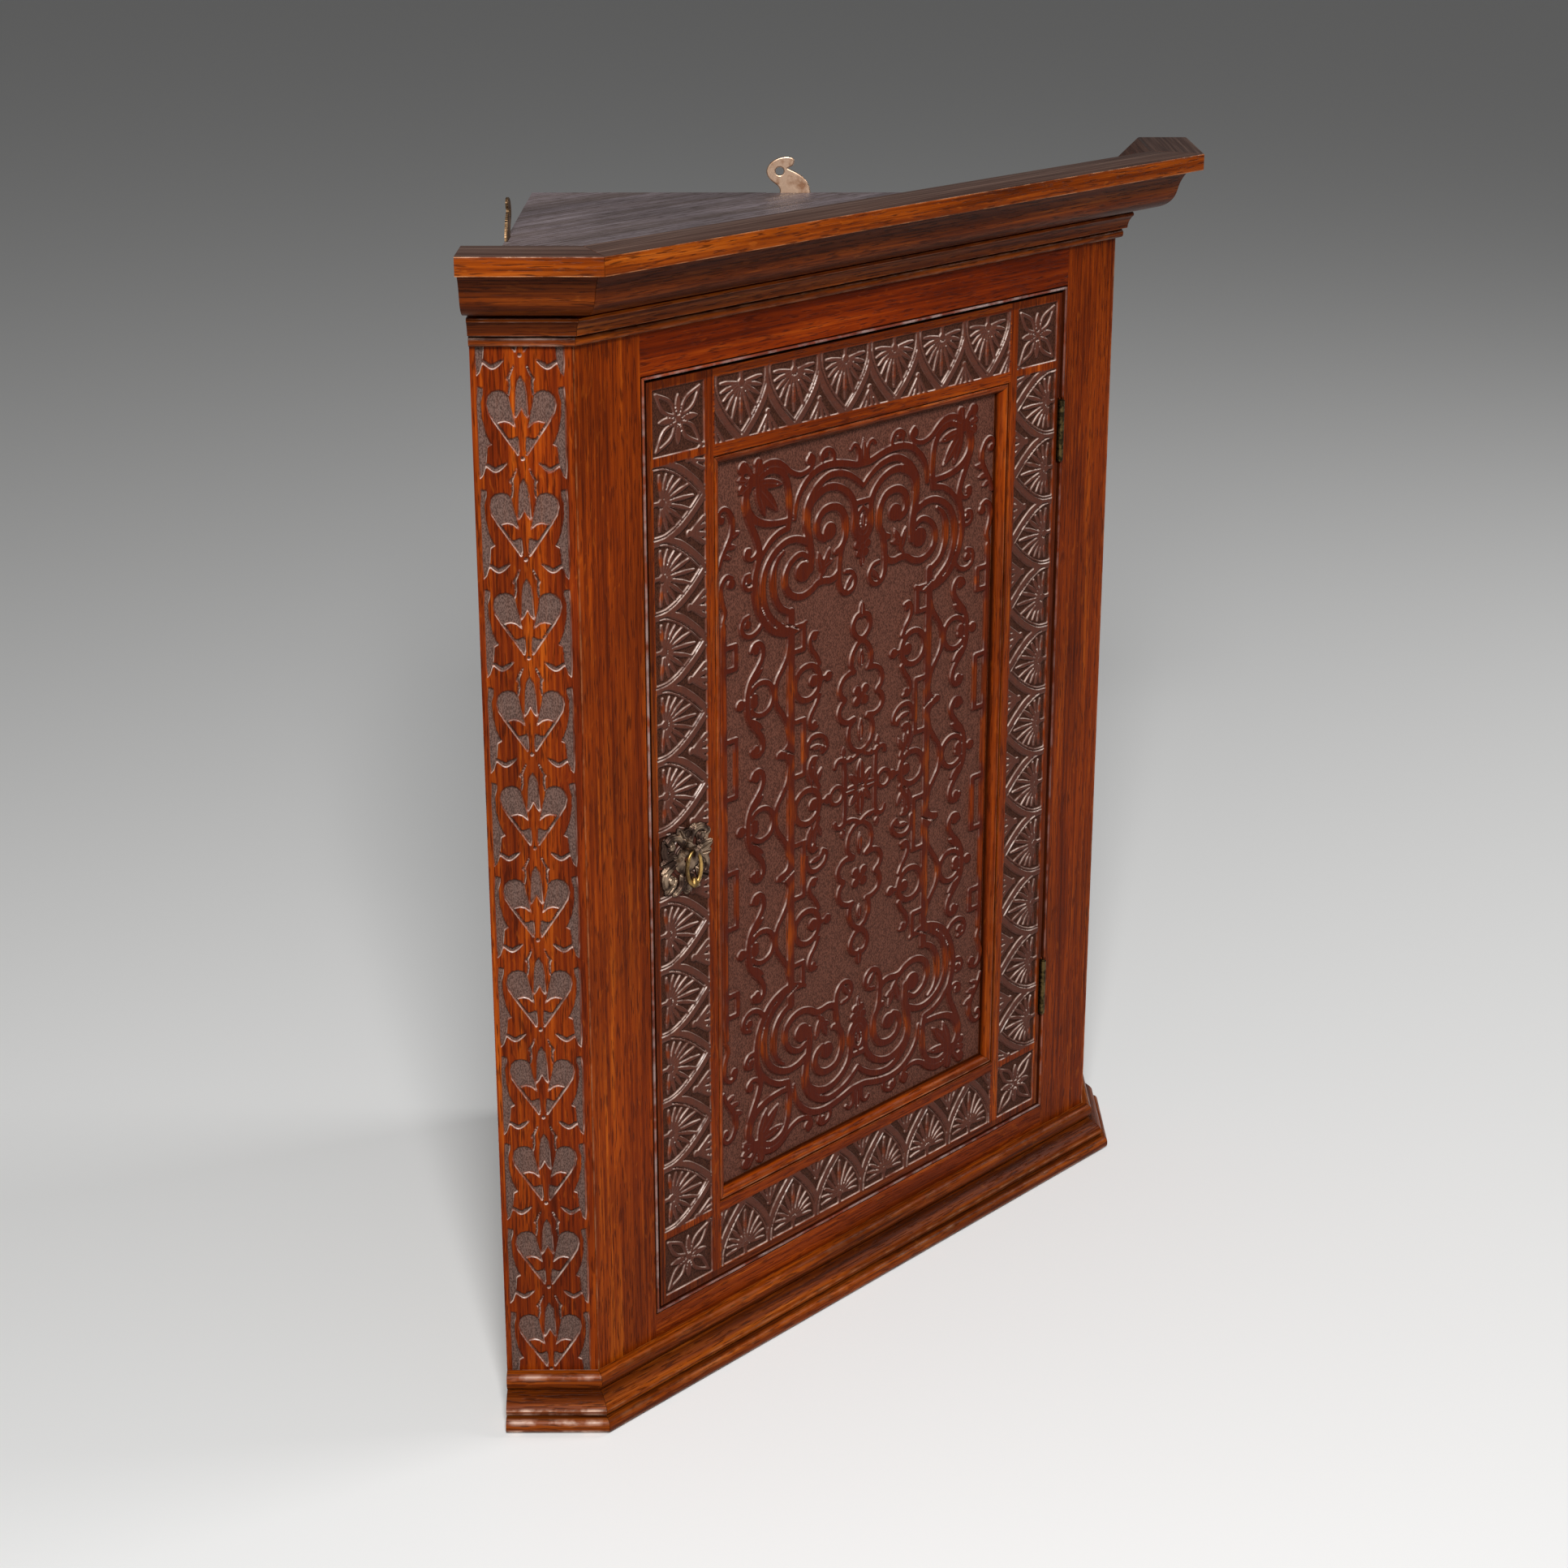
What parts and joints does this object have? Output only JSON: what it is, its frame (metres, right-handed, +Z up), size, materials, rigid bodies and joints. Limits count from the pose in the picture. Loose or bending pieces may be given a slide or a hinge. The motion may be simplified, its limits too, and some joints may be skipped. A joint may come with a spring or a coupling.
{
  "type": "corner cupboard",
  "caption": "Hanging corner cupboard in carved oak with canted sides, a framed door on butt hinges, a drop handle, a crown cornice and hanging plates.",
  "frame": {"origin": "middle of the underside of the cupboard's bounding box, on the plane its underside lies in", "axes": "+Z up, -Y out of the door, +Y towards the corner of the room, +X to the right seen from the front"},
  "size_m": [0.7732, 0.4546, 0.904],
  "materials": {
    "oak": "red-brown polished oak with worn edges",
    "carved_oak": "carved oak, red-brown hollows and paler worn ridges",
    "plain_oak": "plain grey-brown oak, unpolished",
    "brass": "worn brass",
    "dark_brass": "dark cast brass with rubbed highlights",
    "steel": "dull iron"
  },
  "bodies": {
    "case": {"back_board_left_front": "plain_oak", "back_board_left_rear": "plain_oak", "back_board_right_front": "plain_oak", "back_board_right_rear": "plain_oak", "base_mould_front": "oak", "base_mould_left": "oak", "base_mould_right": "oak", "bed_mould_front": "oak", "bed_mould_left": "oak", "bed_mould_right": "oak", "bottom_bearer_left": "plain_oak", "bottom_bearer_right": "plain_oak", "bottom_board": "plain_oak", "cant_panel_left": "carved_oak", "cant_panel_right": "carved_oak", "crown_front": "oak", "crown_left": "oak", "crown_right": "oak", "door_stop_lower": "plain_oak", "door_stop_upper": "plain_oak", "face_rail_bottom": "oak", "face_rail_top": "oak", "face_stile_left": "oak", "face_stile_right": "oak", "hanging_plate_left": "brass", "hanging_plate_right": "brass", "hanging_plate_screw_left_1": "steel", "hanging_plate_screw_left_2": "steel", "hanging_plate_screw_right_1": "steel", "hanging_plate_screw_right_2": "steel", "hinge_lower_frame_leaf": "brass", "hinge_lower_pin": "brass", "hinge_upper_frame_leaf": "brass", "hinge_upper_pin": "brass", "opening_bead_bottom": "oak", "opening_bead_left": "oak", "opening_bead_right": "oak", "opening_bead_top": "oak", "shelf_bearer_lower_left": "plain_oak", "shelf_bearer_lower_right": "plain_oak", "shelf_bearer_upper_left": "plain_oak", "shelf_bearer_upper_right": "plain_oak", "shelf_lower": "plain_oak", "shelf_upper": "plain_oak", "top_board": "plain_oak"},
    "door": {"door_panel": "carved_oak", "door_rail_bottom": "carved_oak", "door_rail_top": "carved_oak", "door_stile_left": "carved_oak", "door_stile_right": "carved_oak", "handle_plate": "dark_brass", "handle_plate_pin_1": "dark_brass", "handle_plate_pin_2": "dark_brass", "handle_stud": "dark_brass", "hinge_lower_door_leaf": "brass", "hinge_upper_door_leaf": "brass", "lock_case": "steel"},
    "drop": {"handle_drop": "dark_brass"},
    "bolt": {"lock_bolt": "brass"}
  },
  "joints": [
    {"name": "door_hinge", "type": "hinge", "parent": "case", "child": "door", "pos_m": [0.22705, -0.16389, 0.431], "axis": [0, 0, 1], "range_deg": [0, 140]},
    {"name": "drop_swing", "type": "hinge", "parent": "door", "child": "drop", "pos_m": [-0.19505, -0.17139, 0.44], "axis": [-1, 0, 0], "range_deg": [0, 100]},
    {"name": "bolt_slide", "type": "slide", "parent": "door", "child": "bolt", "axis": [-1, 0, 0], "range_m": [0, 0.01]}
  ]
}
